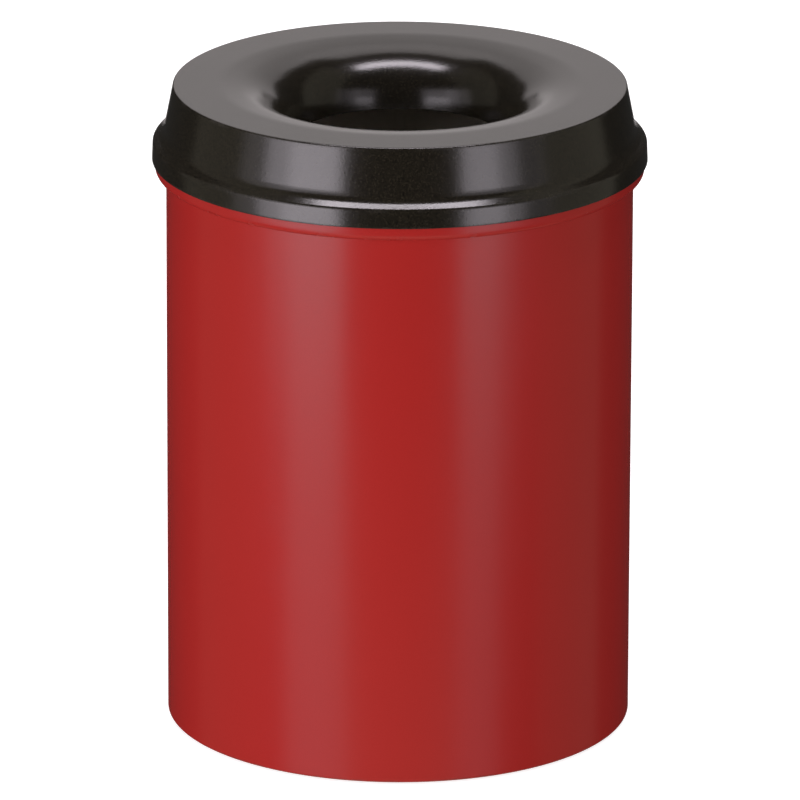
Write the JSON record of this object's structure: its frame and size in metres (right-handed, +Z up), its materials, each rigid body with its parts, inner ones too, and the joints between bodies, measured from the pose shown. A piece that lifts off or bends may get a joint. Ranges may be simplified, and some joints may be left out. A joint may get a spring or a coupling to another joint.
{
  "type": "self-extinguishing waste bin",
  "caption": "Round red sheet-steel waste bin with a black lift-off snuffer lid, whose rolled open throat takes waste in and turns smoke back to starve a fire.",
  "frame": {"origin": "centre of the can, on the floor that its feet stand on", "axes": "+Z up along the can's axis; -Y towards the viewer of the picture, with two feet in front and two behind"},
  "size_m": [0.2588, 0.2588, 0.3442],
  "materials": {
    "can_paint": "satin red powder coat",
    "lid_paint": "satin black powder coat",
    "wire_steel": "drawn steel wire",
    "foot_rubber": "matt black moulded rubber"
  },
  "bodies": {
    "can": {"body_shell": "can_paint", "rim_wire": "wire_steel", "base_disc": "can_paint", "foot_front_right": "foot_rubber", "foot_rear_right": "foot_rubber", "foot_rear_left": "foot_rubber", "foot_front_left": "foot_rubber"},
    "lid": {"snuffer_lid": "lid_paint"}
  },
  "joints": [
    {"name": "lid_lift", "type": "slide", "parent": "can", "child": "lid", "axis": [0, 0, 1], "range_m": [0, 0.15]}
  ]
}
